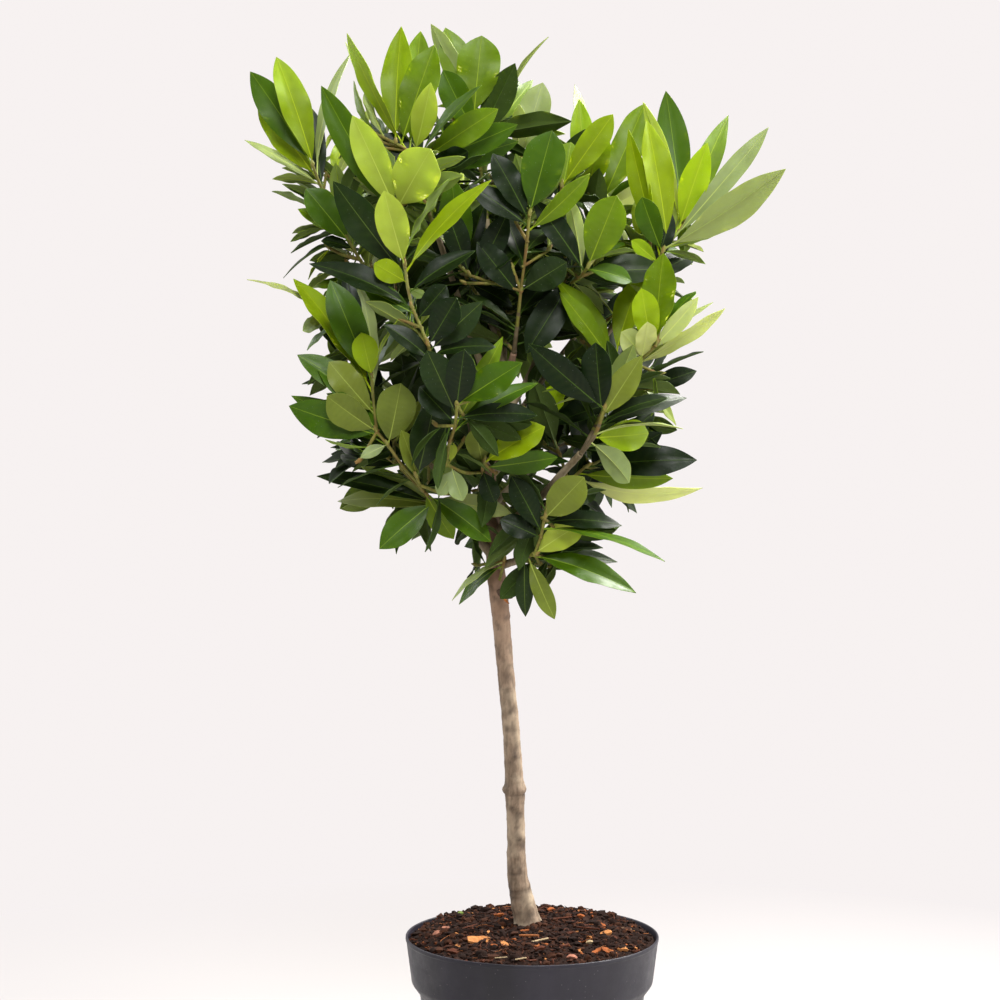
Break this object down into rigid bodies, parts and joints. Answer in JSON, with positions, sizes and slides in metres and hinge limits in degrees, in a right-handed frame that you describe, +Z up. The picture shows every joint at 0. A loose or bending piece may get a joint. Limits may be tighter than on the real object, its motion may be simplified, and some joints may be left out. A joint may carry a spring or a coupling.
{
  "type": "potted bay topiary",
  "caption": "Sweet bay trained as a small standard: one bare leaning stem with a loose, upward-widening crown of pointed glossy leaves, in a round plastic nursery pot.",
  "frame": {"origin": "centre of the pot's flat underside, on the ground it stands on", "axes": "+Z up along the pot's axis, -Y towards the front, +X to the right seen from the front"},
  "size_m": [0.3998, 0.3064, 0.8376],
  "materials": {
    "pot": "dark grey moulded polypropylene, satin, faintly scuffed",
    "compost": "moist dark brown bark and peat compost, loose and matt",
    "bark": "smooth pale grey-brown bark with leaf scars",
    "young_bark": "thin brown bark of young boughs",
    "leaf": "glossy evergreen leaves, bright when young and dark when old"
  },
  "bodies": {
    "root": {"pot": "pot", "compost": "compost", "trunk": "bark", "bough_back": "young_bark", "bough_back_left": "young_bark", "bough_back_left_low": "young_bark", "bough_back_low": "young_bark", "bough_back_right": "young_bark", "bough_back_right_low": "young_bark", "bough_crest": "young_bark", "bough_crest_left": "young_bark", "bough_crest_right": "young_bark", "bough_front": "young_bark", "bough_front_left": "young_bark", "bough_heart": "young_bark", "bough_left": "young_bark", "bough_right": "young_bark", "bough_right_low": "young_bark", "bough_shoulder": "young_bark", "bough_skirt": "young_bark", "bough_top": "young_bark", "foliage_back": "leaf", "foliage_back_left": "leaf", "foliage_back_left_low": "leaf", "foliage_back_low": "leaf", "foliage_back_right": "leaf", "foliage_back_right_low": "leaf", "foliage_centre": "leaf", "foliage_crest": "leaf", "foliage_crest_left": "leaf", "foliage_crest_right": "leaf", "foliage_front": "leaf", "foliage_front_left": "leaf", "foliage_heart": "leaf", "foliage_left": "leaf", "foliage_right": "leaf", "foliage_right_low": "leaf", "foliage_shoulder": "leaf", "foliage_skirt": "leaf", "foliage_sprout": "leaf", "foliage_top": "leaf"}
  },
  "joints": []
}
